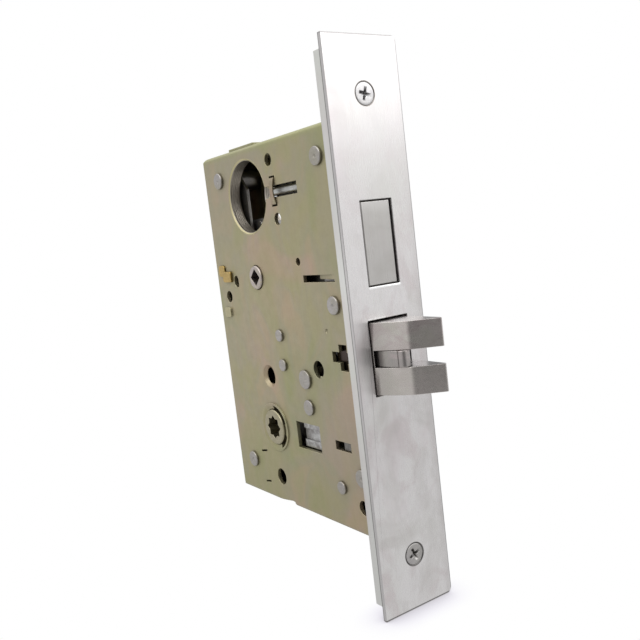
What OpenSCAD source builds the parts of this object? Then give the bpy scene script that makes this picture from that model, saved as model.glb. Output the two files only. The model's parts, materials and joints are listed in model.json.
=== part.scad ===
// Mortise lock with a 25.4 mm deadbolt and a split anti-friction latchbolt.
// Frame: origin at the centre of the armor front's outer face, +Z up along the
// front, -Y outward (the way both bolts project), +Y into the case, +X to the
// right seen from the front. Millimetres. The deadbolt is drawn in, the
// latchbolt stands out. The pan wall ("outside") is at -X, the cover at +X.

/* [Front] */
// Height of the armor front
front_h = 203.2; // [198:0.1:210]
// Width of the armor front
front_w = 31.75; // [31:0.05:34]
// Thickness of the armor front
front_t = 1.6; // [1.5:0.1:1.7]
// Thickness of the inner front
inner_t = 4.0; // [3.8:0.1:4.1]
// Height of the inner front
inner_h = 193.4; // [192.4:0.2:195]
// Clearance under the armor front at the ends of the inner front
end_setback = 0.5; // [0.3:0.1:0.8]

/* [Case] */
// Thickness of the case
case_w = 22.2; // [22:0.1:23]
// Sheet thickness of the pan
sheet = 1.6; // [1.5:0.1:1.6]
// Thickness of the cover plate
cover_t = 1.5; // [1.4:0.1:1.6]
// Distance from the front to the back edge of the case
case_back = 106.5; // [106:0.25:108]

/* [Bolts and hubs] */
// Backset from the front to the cylinder, turn and lever axes
backset = 69.85; // [69.6:0.05:70.1]
// Height of the cylinder axis above the centre
cyl_z = 55.05; // [54.9:0.05:55.2]
// Radius of the cylinder thread bore
cyl_r = 14.6; // [14.4:0.05:14.7]
// Height of the turn hub axis
turn_z = 21.9; // [21.8:0.05:22]
// Height of the lever hub axis
hub_z = -41.8; // [-42:0.05:-41.6]
// Side of the square spindle in the lever hubs
spindle = 7.2; // [6.8:0.1:7.4]
// Side of the square hole in the turn hub
turn_square = 5.1; // [4.6:0.1:5.3]
// Height of the latchbolt axis
latch_z = -8; // [-8.1:0.05:-7.9]

/* [Hidden] */
overcut = 0.01;
hairline = 0.02;            // smallest gap or overlap between touching parts
$fn = 48;

// X of the case faces, and spans that cut through each side
pan_out = -case_w/2;
pan_in = pan_out + sheet;
cover_out = case_w/2;
cover_in = cover_out - cover_t;
pan_cut = [pan_out-2, pan_in+1];
cover_cut = [cover_in-1, cover_out+2];
through = [-20, 20];

case_front = front_t + inner_t;
case_top = 75.0;
case_bottom = -75.1;
case_h = case_top - case_bottom;
bend_r = 1.9;               // outer bend radius of the pan

deadbolt_z = 31.5;
deadbolt_throw = 25.4;
clamp_x = -7.85;            // clamp screw axis, just inside the pan wall
clamp_slot_z = [52.6, 57.25];

// axes along X, as [y,z]
cylinder_pos = [backset, cyl_z];
turn_pos = [backset, turn_z];
hub_pos = [backset, hub_z];
post_pos = [[16.8,64], [92,64], [16.4,10.9], [92.4,-59.8], [10.9,-52.4]];
key_pivot = post_pos[1];
guide_post_pos = [for (dz=[-6.1,6.1]) [56.8, latch_z+dz]];
retractor_pos = [41, -29.8];
limit_stud_pos = [41.4, -18.6];
spacer_pos = [24.6, -58.7];
guide_stud_pos = [46, 36];
catch_pos = [94.9, 22.6];
trim_offset = [0, 21.9];    // trim bolt holes above and below the lever hub

// shank radii
post_r = 2.6;
guide_post_r = 1.5;
retractor_post_r = 2.3;
stud_r = 2.0;
latch_rod_r = 2.2;

case_color = [0.58,0.55,0.42];
post_color = [0.7,0.69,0.72];
steel_color = [0.7,0.7,0.7];
ring_color = [0.66,0.66,0.64];
bracket_color = [0.6,0.6,0.58];
spring_color = [0.75,0.75,0.77];
hub_color = [0.62,0.6,0.5];

// ---- helpers: a span is [from,to] along an axis ----
function around(middle, half) = [middle-half, middle+half];
// span from near to far off the middle plane, on side -1 or 1
function side_span(side, near, far) = side < 0 ? [-far,-near] : [near,far];

module box(x, y, z) {
  translate([x[0],y[0],z[0]]) cube([x[1]-x[0],y[1]-y[0],z[1]-z[0]]);
}
// rods and cones along X at [y,z], along Y at [x,z], along Z at [x,y]
module cone_x(pos, r_from, r_to, span) {
  translate([span[0],pos[0],pos[1]]) rotate([0,90,0])
    cylinder(h=span[1]-span[0],r1=r_from,r2=r_to);
}
module cone_y(pos, r_from, r_to, span) {
  translate([pos[0],span[0],pos[1]]) rotate([-90,0,0])
    cylinder(h=span[1]-span[0],r1=r_from,r2=r_to);
}
module rod_x(pos, r, span) { cone_x(pos,r,r,span); }
module rod_y(pos, r, span) { cone_y(pos,r,r,span); }
module rod_z(pos, r, span) {
  translate([pos[0],pos[1],span[0]]) cylinder(h=span[1]-span[0],r=r);
}
// 2D profile in (y,z) pushed along X, and in (x,z) pushed along Y
module push_x(span) {
  translate([span[0],0,0]) rotate([90,0,90]) linear_extrude(span[1]-span[0]) children();
}
module push_y(span) {
  translate([0,span[1],0]) rotate([90,0,0]) linear_extrude(span[1]-span[0]) children();
}
module disc(pos, r) { translate(pos) circle(r); }
// 2D flat bar between two points
module bar(start, end, half_w) {
  reach = end-start;
  translate(start) rotate(atan2(reach[1],reach[0])) translate([0,-half_w])
    square([norm(reach),2*half_w]);
}
// 2D rectangle with round corners
module round_rect(y, z, r) {
  translate([y[0]+r,z[0]]) square([y[1]-y[0]-2*r,z[1]-z[0]]);
  translate([y[0],z[0]+r]) square([y[1]-y[0],z[1]-z[0]-2*r]);
  for (cy=[y[0]+r,y[1]-r], cz=[z[0]+r,z[1]-r]) disc([cy,cz],r);
}
// 2D part of a ring, between two angles counted from the front
module ring_sector(center, r_in, r_out, from, to) {
  steps = 6;
  reach = 16;
  intersection() {
    difference() {
      disc(center,r_out);
      disc(center,r_in);
    }
    translate(center) polygon(concat([[0,0]],
      [for (i=[0:steps]) let(a=from+(to-from)*i/steps) reach*[-cos(a),sin(a)]]));
  }
}
// cross recess along Y for a screw on x = 0
module cross_recess(z, mouth_y, depth, l=4.4, w=0.95) {
  translate([0,mouth_y,z]) rotate([0,20,0]) {
    translate([-l/2,-overcut,-w/2]) cube([l,depth+overcut,w]);
    translate([-w/2,-overcut,-l/2]) cube([w,depth+overcut,l]);
  }
}
// holes along X from a table of [[y,z], radius]
module holes(table, span) {
  for (hole=table) rod_x(hole[0],hole[1],span);
}

// ---- front ----
armor_screw_z = [81.8, -81.6];
bracket_screw_z = [68.4, -67.6];
mount_z = 92;
corner_r = 2;
// bolt openings: x span, half height, middle z
armor_openings = [[[-7.3,6.65],14.85,deadbolt_z], [[-9.4,8.3],13.35,latch_z]];
inner_openings = [[[-6.95,6.4],14.6,deadbolt_z], [[-9.35,7.8],12.95,latch_z]];

module bolt_openings(table, y) {
  for (opening=table) box(opening[0],y,around(opening[2],opening[1]));
}
module armor_front() {
  color([0.86,0.85,0.85])
  difference() {
    box([-front_w/2,front_w/2],[0,front_t],[-front_h/2,front_h/2]);
    // softly rounded right-hand corners
    for (s=[-1,1]) translate([front_w/2,-1,s*front_h/2]) rotate([-90,0,0])
      difference() {
        translate([-corner_r,-corner_r,0]) cube([4,4,4]);
        translate([-corner_r,s*corner_r,-1]) cylinder(h=6,r=corner_r);
      }
    bolt_openings(armor_openings,[-1,5]);
    for (z=armor_screw_z) cone_y([0,z],4.2,4.2-1.03*front_t,[-overcut,front_t+overcut]);
  }
}
module armor_front_screws() {
  color([0.8,0.8,0.8])
  for (z=armor_screw_z) difference() {
    union() {
      cone_y([0,z],4.1,2.0,[0,2.1]);
      rod_y([0,z],2.0,[2.1,9.4]);
      cone_y([0,z],2.0,1.2,[9.4,10.4]);
    }
    cross_recess(z,0,1.25);
  }
}
module inner_front() {
  end_y = front_t+end_setback;
  color([0.72,0.74,0.72])
  difference() {
    push_x([-15.4,15.4])
      polygon([[front_t,-88.5],[front_t,89],[end_y,90.2],[end_y,inner_h/2],
        [case_front,inner_h/2],[case_front,-inner_h/2],[end_y,-inner_h/2],[end_y,-89.7]]);
    bolt_openings(inner_openings,[-1,9]);
    for (z=armor_screw_z) {
      cone_y([0,z],2.62,2.03,[front_t-overcut,front_t+0.6]);
      rod_y([0,z],2.03,[0,9]);
    }
    for (z=[-mount_z,mount_z]) rod_y([0,z],2.8,[0,12]);
    // access to the clamp screw, covered by the armor front
    rod_y([clamp_x,cyl_z],2.0,[0,9]);
    for (z=bracket_screw_z) {
      cone_y([0,z],3.3,1.95,[front_t-overcut,front_t+1.4]);
      rod_y([0,z],1.95,[0,9]);
    }
  }
}

bracket_t = 2.2;
bracket_top = case_top-sheet-hairline;
bracket_bottom = case_bottom+sheet+hairline;
// screw z, z span of the leg on the front, z span of the leg into the case
brackets = [
  [bracket_screw_z[0], [64.9,bracket_top], [bracket_top-bracket_t,bracket_top]],
  [bracket_screw_z[1], [bracket_bottom,-64.1], [bracket_bottom,bracket_bottom+bracket_t]]];
module front_brackets() {
  color(bracket_color)
  for (bracket=brackets) difference() {
    union() {
      box([-7,7],[case_front,case_front+bracket_t],bracket[1]);
      box([-7,7],[case_front,22],bracket[2]);
    }
    rod_y([0,bracket[0]],1.75,[0,9]);
  }
}
module front_bracket_screws() {
  head_y = front_t+0.1;
  neck_y = front_t+1.5;
  color(steel_color)
  for (z=bracket_screw_z) difference() {
    union() {
      cone_y([0,z],3.2,1.72,[head_y,neck_y]);
      rod_y([0,z],1.72,[neck_y,case_front+3.2]);
    }
    cross_recess(z,head_y,0.9,3.4,0.8);
  }
}

// ---- case ----
// holes in both sides: [y,z], radius
side_holes = concat([
  [cylinder_pos,15.5], [hub_pos,7.75], [turn_pos,5.15],
  [hub_pos-trim_offset,3.5], [hub_pos+trim_offset,3.5],
  [[49.8,67.3],2.5], [[96.3,13.8],2.55],
  [retractor_pos,retractor_post_r+hairline], [spacer_pos,stud_r+hairline]],
  [for (pos=guide_post_pos) [pos,guide_post_r+hairline]]);
// further holes in the pan only
pan_holes = concat([
  [[47.7,44.3],2.45], [[37,27.3],1.55], [[12.4,-64],2.8],
  [catch_pos,1.52], [limit_stud_pos,stud_r+hairline]],
  [for (pos=post_pos) [pos,post_r+hairline]]);
// rectangular openings in the pan: y span, z span
pan_slots = [
  [[31.7,57],clamp_slot_z],
  // clip ends
  [[46.6,50.6],[59.6,60.95]], [[46.6,50.6],[49.25,50.6]],
  // long slot of the sloping tongue
  [[14.4,34.6],[19.35,22.05]],
  // cross-shaped opening at the latch
  [[9,21.3],[-10.15,-6.2]], [[12,16.9],[-13.1,-3.4]],
  // beside the hub slide and the hub spring stop
  [[36,52.7],[-47.7,-36.8]], [[16.2,26],[-44,-40.4]]];

// case outline in (y,z), set in by inset
module outline(inset, top_r) {
  back = case_back-inset;
  bottom_r = 1.2;
  difference() {
    translate([case_front,case_bottom+inset])
      square([back-case_front,case_h-2*inset]);
    translate([back-top_r,case_top-inset-top_r]) difference() {
      square(top_r+1);
      circle(top_r);
    }
    translate([back-bottom_r,case_bottom+inset+bottom_r]) difference() {
      translate([0,-bottom_r-1]) square(bottom_r+1);
      circle(bottom_r);
    }
  }
}
// solid form of the pan, with bends on the -X edges
module pan_form(inset) {
  r = bend_r-inset;
  left = pan_out+inset;
  low = case_bottom+inset;
  tall = case_h-2*inset;
  intersection() {
    push_x([left,cover_in-hairline]) outline(inset,5-inset);
    push_y([0,case_back+1]) union() {
      translate([left+r,low]) square([case_w,tall]);
      translate([left,low+r]) square([r+1,tall-2*r]);
      disc([left+r,low+r],r);
      disc([left+r,case_top-inset-r],r);
    }
    translate([0,0,case_bottom-1]) linear_extrude(case_h+2) union() {
      translate([left+r,-1]) square([case_w,case_back-inset+1]);
      translate([left,-1]) square([r+1,case_back-inset-r+1]);
      disc([left+r,case_back-inset-r],r);
    }
  }
}
module case_body() {
  color(case_color)
  difference() {
    union() {
      difference() {
        pan_form(0);
        pan_form(sheet);
      }
      // drawn ring round the lever hub
      difference() {
        rod_x(hub_pos,10.4,[pan_out-0.5,pan_out+0.4]);
        rod_x(hub_pos,7.75,around(pan_out,2));
        cone_x(hub_pos,9.7,8.0,[pan_out-0.5-overcut,pan_out]);
      }
      // pressed-out pad at the back edge
      push_x([pan_out-0.7,pan_out+0.4]) round_rect([95.9,101.1],[4.7,9.0],1);
    }
    holes(side_holes,pan_cut);
    holes(pan_holes,pan_cut);
    for (slot=pan_slots) box(pan_cut,slot[0],slot[1]);
    // curved openings beside the hub hole
    push_x(pan_cut) ring_sector(hub_pos,7.6,9.25,15,88);
    push_x(pan_cut) ring_sector(hub_pos,7.6,9.5,-66,-18);
    // drawn-in mouth of the upper trim hole
    cone_x(hub_pos+trim_offset,4.9,3.5,[pan_out-overcut,pan_out+1.3]);
    // round hole with a small step left at its lower front
    difference() {
      rod_x([31.6,-13.9],3.45,pan_cut);
      box([pan_out-3,pan_in+2],[27,30.9],[-18,-16.4]);
    }
    // irregular hole near the catch
    push_x(pan_cut) polygon([[86.1,18.2],[88.4,17.9],[89.7,19.2],[89.9,21.4],
      [89.0,22.9],[87.1,22.9],[86.2,21.6]]);
    // tilted slits at the lower back
    push_x(pan_cut) translate([82.4,-54.4]) rotate(-10) square([5,0.8],center=true);
    push_x(pan_cut) translate([82,-68.2]) rotate(-10) square([4.6,0.8],center=true);
    // shallow dent
    cone_x([23.3,1.2],1.0,0.5,[pan_out-overcut,pan_out+0.5]);
    // shallow notch in the bottom edge
    push_x([pan_out-1,-4]) polygon([[61.4,case_bottom-1],[61.4,case_bottom+1.9],
      [63,case_bottom+2.1],[75.5,case_bottom+0.3],[76.2,case_bottom-1]]);
  }
  // sloping tongue left in the long slot
  color(case_color)
  translate([0,0,20.3]) linear_extrude(1.75)
    polygon([[pan_out,14.0],[pan_out,14.4],[pan_in,25.6],[pan_in+1.2,25.6],
      [pan_in,19.5],[pan_in,14.0]]);
}
module case_cover() {
  lip_y = [63.2,83.4];
  lip_top = case_top+1.0;
  color(case_color)
  difference() {
    union() {
      push_x([cover_in,cover_out]) outline(0,3.2);
      // lip folded over the top wall
      box([pan_out+bend_r,cover_out],lip_y,[case_top+hairline,lip_top]);
      box([cover_in,cover_out],lip_y,[case_top-1,lip_top]);
    }
    holes(side_holes,cover_cut);
    for (pos=post_pos) rod_x(pos,1.75,cover_cut);
    rod_x(guide_stud_pos,stud_r+hairline,cover_cut);
    box(cover_cut,[17.3,21.7],[-43.9,-40.5]);
  }
}
module case_posts() {
  head_x = pan_out-0.8;
  end_x = pan_out-1.05;
  color(post_color)
  for (pos=post_pos) difference() {
    union() {
      cone_x(pos,3.15,3.4,[end_x,head_x]);
      rod_x(pos,3.4,[head_x,pan_out]);
      rod_x(pos,post_r,[pan_out,cover_in]);
    }
    cone_x(pos,0.9,0.3,[end_x-overcut,pan_out-0.7]);
    rod_x(pos,1.5,[cover_in-7,cover_in+1]);
  }
}
module cover_screws() {
  rim_x = cover_out+0.9;
  end_x = cover_out+1.5;
  slot_l = 3.4;
  slot_w = 0.8;
  color([0.72,0.72,0.74])
  for (pos=post_pos) difference() {
    union() {
      rod_x(pos,1.47,[cover_in-5.5,cover_out]);
      rod_x(pos,3.0,[cover_out,rim_x]);
      cone_x(pos,3.0,2.3,[rim_x,end_x]);
    }
    translate([end_x-0.9,pos[0],pos[1]]) rotate([35,0,0]) {
      translate([0,-slot_l/2,-slot_w/2]) cube([2,slot_l,slot_w]);
      translate([0,-slot_w/2,-slot_l/2]) cube([2,slot_w,slot_l]);
    }
  }
}

// ---- cylinder seats and clamp ----
mouth_r = 15.25;
mouth_depth = 0.5;
// threaded seat; the children are cut away as well
module cylinder_ring(seat, flange) {
  difference() {
    union() {
      rod_x(cylinder_pos,15.45,seat);
      rod_x(cylinder_pos,17.2,flange);
    }
    rod_x(cylinder_pos,cyl_r,through);
    children();
  }
}
module cylinder_ring_outside() {
  color(ring_color)
  cylinder_ring([pan_out,pan_in+0.4],[pan_in+hairline,pan_in+3.4]) {
    cone_x(cylinder_pos,mouth_r,cyl_r,[pan_out-overcut,pan_out+mouth_depth]);
    // notches for the clamp screw
    box([pan_out-1,pan_in+hairline],[40,57],clamp_slot_z);
    box([pan_in-1,clamp_x+1.75],[50,58],around(cyl_z,1.8));
  }
}
module cylinder_ring_inside() {
  color(ring_color)
  cylinder_ring([cover_in-0.4,cover_out],[cover_in-3.4,cover_in-hairline])
    cone_x(cylinder_pos,cyl_r,mouth_r,[cover_out-mouth_depth,cover_out+overcut]);
}
module clamp_screw() {
  clamp_pos = [clamp_x,cyl_z];
  color([0.75,0.75,0.78])
  difference() {
    union() {
      rod_y(clamp_pos,1.6,[1.9,53.9]);
      cone_y(clamp_pos,1.6,0.9,[53.9,54.9]);
    }
    box(around(clamp_x,2.5),[1,3.0],around(cyl_z,0.35));
  }
}
module clamp_screw_nut() {
  nut_z = [50.8,59.3];
  color(bracket_color)
  difference() {
    union() {
      box([pan_in+hairline,-5.2],[24.5,30.5],nut_z);
      box([-5.9,-5.2],[24.5,54.6],nut_z);
    }
    rod_y([clamp_x,cyl_z],1.65,[20,40]);
  }
}
// [x,z] of a strap bowed over the screw, its ends turned into the case slots
clip_profile = [
  [-9.9,49.95],[-11.5,49.95],[-11.85,51.4],[-12.1,53.4],[-12.15,55.1],[-12.1,56.8],
  [-11.85,58.8],[-11.5,60.25],[-9.9,60.25],[-9.9,59.65],[-11.15,59.65],[-11.3,58.5],
  [-11.55,56.6],[-11.6,55.1],[-11.55,53.6],[-11.3,51.7],[-11.15,50.55],[-9.9,50.55]];
module clamp_screw_clip() {
  color([0.6,0.55,0.36])
  difference() {
    push_y([46.85,50.25]) polygon(clip_profile);
    cone_x([48.55,cyl_z],1.1,0.8,[-12.15-overcut,-12.0]);
  }
}
module back_edge_catch() {
  color([0.78,0.62,0.3])
  union() {
    push_x([pan_out-1.05,pan_out]) round_rect([91.3,98.5],[20.2,24.9],1.1);
    push_x([pan_out-0.65,pan_out]) round_rect([97.0,102.4],[22.7,27.7],1.5);
    rod_x(catch_pos,1.5,[pan_out,pan_in+0.5]);
  }
}

// ---- fixed posts and guides ----
riveted_x = cover_out+hairline;
rivet_span = [cover_out,cover_out+0.7];
// post with its head outside the pan and, if rivet_r is given, a rivet on the cover
module headed_post(pos, head_r, shank_r, end_x, rivet_r=0) {
  union() {
    cone_x(pos,head_r-0.25,head_r,[pan_out-1,pan_out-0.8]);
    rod_x(pos,head_r,[pan_out-0.8,pan_out]);
    rod_x(pos,shank_r,[pan_out,end_x]);
    if (rivet_r>0) rod_x(pos,rivet_r,rivet_span);
  }
}
module latch_guide() {
  color([0.62,0.62,0.6])
  difference() {
    box([pan_in+0.15,cover_in-0.15],[54.75,59.4],[latch_z-9.6,latch_z+9.3]);
    rod_y([0,latch_z],latch_rod_r+0.06,[50,70]);
    for (pos=guide_post_pos) rod_x(pos,guide_post_r+0.03,through);
  }
}
module latch_guide_posts() {
  color(post_color)
  for (pos=guide_post_pos) headed_post(pos,2.45,guide_post_r,riveted_x,2.2);
}
module retractor_post() {
  color(post_color) headed_post(retractor_pos,3.1,retractor_post_r,riveted_x,3.0);
}
module limit_stud() {
  color(post_color) headed_post(limit_stud_pos,3.75,stud_r,pan_in+0.2);
}
module spacer_post() {
  color(post_color) headed_post(spacer_pos,2.5,stud_r,riveted_x,2.7);
}
module deadbolt_guide_stud() {
  color(post_color)
  union() {
    rod_x(guide_stud_pos,stud_r,[-7.6,riveted_x]);
    rod_x(guide_stud_pos,3.0,rivet_span);
    rod_x(guide_stud_pos,3.2,[1.75,cover_in-hairline]);
  }
}
module hub_spring_stop() {
  color([0.62,0.63,0.62])
  union() {
    box([pan_in+0.05,cover_in-0.05],[18.2,22.2],around(hub_z,4.6));
    // tabs into the two case sides
    for (x=[[pan_in-0.75,pan_in+0.1],[cover_in-0.1,cover_out-0.1]])
      box(x,[17.5,21.5],[-43.7,-40.7]);
    rod_y([0,hub_z],2.0,[22.2,27]);
  }
}

// ---- deadbolt group ----
deadbolt_x = [-6.65, 6.1];
deadbolt_face = 0.6;
tail_rivet_pos = [[32,32.6], [32,41.4]];
roller_y = [8, 15];
lug_pos = [[77.4,43.2], [87.7,43.2]];
module deadbolt_head() {
  color([0.74,0.73,0.72])
  difference() {
    box(deadbolt_x,[deadbolt_face,36],around(deadbolt_z,14.3));
    // slot for the tail
    box([-1.45,1.45],[27.9,40],[28.1,45.3]);
    for (pos=tail_rivet_pos) rod_x(pos,1.53,[-10,10]);
    for (y=roller_y) rod_z([0,y],2.45,[deadbolt_z-15,43.2]);
    // broken edges on the face
    for (x=deadbolt_x) translate([x,deadbolt_face,deadbolt_z]) rotate([0,0,45])
      cube([0.5,0.5,60],center=true);
  }
}
module deadbolt_tail() {
  cut = [-3,3];
  color([0.68,0.68,0.67])
  difference() {
    union() {
      box([-1.4,1.4],[28,60],[28.2,45.2]);
      box([-1.4,1.4],[56,92],[28.2,46]);
    }
    // slot for the turn arm pin, which swings evenly about the backset
    box(cut,around(backset+deadbolt_throw/2,2.6),[20,39.8]);
    // slot that runs on the guide stud
    slot_end = guide_stud_pos+[deadbolt_throw,0];
    box(cut,[guide_stud_pos[0],slot_end[0]],around(guide_stud_pos[1],2.1));
    for (pos=[guide_stud_pos,slot_end]) rod_x(pos,2.1,cut);
    for (pos=tail_rivet_pos) rod_x(pos,1.53,[-10,10]);
    for (pos=lug_pos) rod_x(pos,1.82,[-10,10]);
    // relief in the top edge
    box(cut,[57.5,69],[44.1,50]);
    // corner cut at the back
    translate([0,92,46]) rotate([45,0,0]) cube([6,8,8],center=true);
  }
}
module deadbolt_tail_rivets() {
  color(steel_color) for (pos=tail_rivet_pos) rod_x(pos,1.5,[-6.3,6.3]);
}
module deadbolt_roller_pins() {
  color([0.5,0.5,0.52]) for (y=roller_y) rod_z([0,y],2.4,[deadbolt_z-13.8,42.9]);
}
module deadbolt_key_lugs() {
  color(steel_color) for (pos=lug_pos) rod_x(pos,1.8,[-2.2,4.4]);
}

turn_arm_l = 15.6;
turn_arm_angle = 54.5;      // from +Z toward the back
turn_pin_pos = turn_pos + turn_arm_l*[sin(turn_arm_angle),cos(turn_arm_angle)];
// square hole along X turned by angle
module square_hole(pos, side, angle) {
  translate([-20,pos[0],pos[1]]) rotate([angle,0,0]) translate([0,-side/2,-side/2])
    cube([40,side,side]);
}
module turn_hub() {
  color([0.74,0.73,0.73])
  difference() {
    union() {
      cone_x(turn_pos,4.5,4.9,[pan_out-0.9,pan_out-0.5]);
      rod_x(turn_pos,4.9,[pan_out-0.5,cover_out+0.5]);
      cone_x(turn_pos,4.9,4.5,[cover_out+0.5,cover_out+0.9]);
      rod_x(turn_pos,6.6,[pan_in+0.06,-8]);
      rod_x(turn_pos,6.6,[8,cover_in-0.06]);
      push_x([1.8,4.4]) {
        disc(turn_pos,6.4);
        bar(turn_pos,turn_pin_pos,3);
        disc(turn_pin_pos,3.2);
      }
    }
    square_hole(turn_pos,turn_square,45);
    rod_x(turn_pin_pos,1.63,[0,6]);
  }
}
module turn_arm_pin() { color(steel_color) rod_x(turn_pin_pos,1.6,[-1.2,4.4]); }

// ---- latchbolt group ----
// slightly convex bevel on the -X side of the latch, ends as [x,y]
bevel_r = 60;
bevel_root = [-9.1, -0.6];
bevel_nose = [-1.7, -12.8];
bevel_chord = bevel_nose-bevel_root;
bevel_dir = bevel_chord/norm(bevel_chord);
bevel_center = (bevel_root+bevel_nose)/2
  + sqrt(bevel_r*bevel_r-pow(norm(bevel_chord)/2,2))*[-bevel_dir[1],bevel_dir[0]];
latch_back = 21;
tongue_pivot = [-3.2, 6.5];

function arc_points(center, r, from, to, steps) =
  [for (i=[0:steps]) let(a=from+(to-from)*i/steps) center + r*[cos(a),sin(a)]];
function direction(v) = atan2(v[1],v[0]);

// plan in (x,y): flat +X side, bevel and nose on the -X side
module latch_plan() {
  polygon(concat([[-9.1,latch_back]],
    arc_points(bevel_center,bevel_r,direction(bevel_root-bevel_center),
      direction(bevel_nose-bevel_center),8),
    [[6.1,-18.75],[6.75,-19.05],[7.3,-18.7],[7.5,-18.2],[7.5,latch_back]]));
}
module latchbolt_head() {
  color([0.66,0.64,0.62])
  difference() {
    translate([0,0,latch_z-12.65]) linear_extrude(25.3) latch_plan();
    // slot for the friction tongue
    box([-9,9],[-25,11],around(latch_z,3));
    rod_z(tongue_pivot,1.53,around(latch_z,8));
    rod_y([0,latch_z],latch_rod_r+0.05,[12,30]);
  }
}
module friction_tongue() {
  color([0.62,0.6,0.57])
  translate([0,0,latch_z-2.85]) linear_extrude(5.7)
  difference() {
    union() {
      disc(tongue_pivot,3.6);
      polygon([[-6.8,6.5],[-7.7,3],[-7.7,-1.2],[-6.9,-4.4],[-5.2,-8.6],[-2.9,-11.2],
        [-0.8,-9.5],[-0.4,-4],[0.4,6.5]]);
      disc([-3.0,-9.1],2.3);
    }
    disc(tongue_pivot,1.56);
  }
}
module tongue_pin() { color([0.6,0.6,0.6]) rod_z(tongue_pivot,1.5,around(latch_z,7.9)); }
module latch_yoke() {
  front_y = latch_back+hairline;
  back_y = 35.6;
  top_z = latch_z+6.2;
  color([0.66,0.66,0.65])
  difference() {
    union() {
      box([-7,7],[front_y,22.6],[latch_z-6,top_z]);
      box([-7,7],[front_y,back_y],[latch_z+4.4,top_z]);
      box([-7,7],[33.8,back_y],[latch_z-1.9,top_z]);
    }
    rod_y([0,latch_z],latch_rod_r+0.05,[20,24]);
    rod_y([0,latch_z],4.3,[30,40]);
  }
}
module latch_rod() {
  color(steel_color)
  union() {
    rod_y([0,latch_z],latch_rod_r,[13,75.8]);
    rod_y([0,latch_z],2.7,[22.64,24.2]);
    cone_y([0,latch_z],latch_rod_r,1.6,[75.8,76.4]);
  }
}
module latch_rod_nut() {
  color(steel_color)
  difference() {
    translate([0,72.2,latch_z]) rotate([-90,0,0]) cylinder(h=3,r=5.6,$fn=6);
    rod_y([0,latch_z],latch_rod_r+hairline,[70,80]);
  }
}
// coil along Y built from plain rings joined by short bars
module coil(span, z, ring_r, wire_r, rings) {
  pitch = (span[1]-span[0]-2*wire_r)/(rings-1);
  start = span[0]+wire_r;
  for (i=[0:rings-1]) translate([0,start+i*pitch,z]) rotate([-90,0,0])
    rotate_extrude() translate([ring_r,0]) circle(wire_r,$fn=16);
  for (i=[0:rings-2]) translate([(i%2==0?ring_r:-ring_r),start+i*pitch,z])
    rotate([-90,0,0]) cylinder(h=pitch,r=wire_r*0.8,$fn=16);
}
module latch_spring() { color(spring_color) coil([22.7,54.65],latch_z,3.4,0.5,9); }
module hub_spring() { color(spring_color) coil([22.3,47.7],hub_z,3.1,0.55,8); }

// ---- retractor and lever hubs ----
upper_arm_l = 21.8;
lower_arm_l = 10.3;
upper_arm_lean = 9.525;     // upper end toward the front from the pivot
arm_angle = asin(upper_arm_lean/upper_arm_l);
arm_dir = [-sin(arm_angle), cos(arm_angle)];
arm_ends = [retractor_pos+upper_arm_l*arm_dir, retractor_pos-lower_arm_l*arm_dir];
module retractor_lever() {
  color([0.64,0.64,0.63])
  difference() {
    union() {
      for (s=[-1,1]) push_x(side_span(s,4.6,6.6)) {
        disc(retractor_pos,4.2);
        for (end=arm_ends) {
          disc(end,2);
          bar(retractor_pos,end,2);
        }
      }
      rod_x(retractor_pos,4.2,[-9.3,9.3]);
    }
    rod_x(retractor_pos,retractor_post_r+0.06,through);
  }
}
slide_y = 47.82;
slide_back = slide_y+2.2;
module hub_slide() {
  color([0.74,0.74,0.75])
  difference() {
    union() {
      box([-9.25,9.25],[slide_y,slide_back],[hub_z-5.5,hub_z+4.8]);
      for (s=[-1,1]) box(side_span(s,7.5,9.25),[34,slide_back],[hub_z-5.5,hub_z+4.6]);
      box([-2.5,2.5],[slide_y+1,60.5],around(hub_z,5));
      box([-7,7],[60.3,62.5],around(hub_z,16.7));
      rod_y([0,hub_z],1.9,[43.6,slide_y+0.1]);
    }
    // relief for the retractor arms
    for (s=[-1,1]) box(side_span(s,4.25,6.95),[slide_y-1,slide_y+3],[-39.2,hub_z+6]);
    // pressed groove in each side arm
    for (s=[-1,1]) {
      box(side_span(s,8.65,10),[39.5,slide_y+3],[hub_z-2.4,hub_z+2.2]);
      rod_x([39.5,hub_z-0.1],2.3,side_span(s,8.65,10));
    }
  }
}
// lever hub drawn on the pan side; wall_x is the inner face it runs against
module lever_hub(wall_x) {
  difference() {
    union() {
      cone_x(hub_pos,7.1,7.5,[pan_out-0.9,pan_out-0.5]);
      rod_x(hub_pos,7.5,[pan_out-0.5,wall_x]);
      rod_x(hub_pos,10.4,[wall_x+0.06,-7.8]);
      rod_x(hub_pos,7.5,[wall_x-0.1,-7.8]);
      rod_x(hub_pos,6.6,[-8,-0.15]);
      // cross arm with rounded ends
      push_x([-6.8,-0.6]) union() {
        translate(hub_pos+[-6.45,-14.5]) square([5,29]);
        for (z=[-14.5,14.5]) {
          disc(hub_pos+[-4.45,z],2);
          disc(hub_pos+[-3.45,z],2);
          translate(hub_pos+[-4.45,z-2]) square([1,4]);
        }
      }
    }
    for (angle=[0,45]) square_hole(hub_pos,spindle,angle);
  }
}
module lever_hub_outside() { color(hub_color) lever_hub(pan_in); }
module lever_hub_inside() { color(hub_color) mirror([1,0,0]) lever_hub(-cover_in); }

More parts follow.
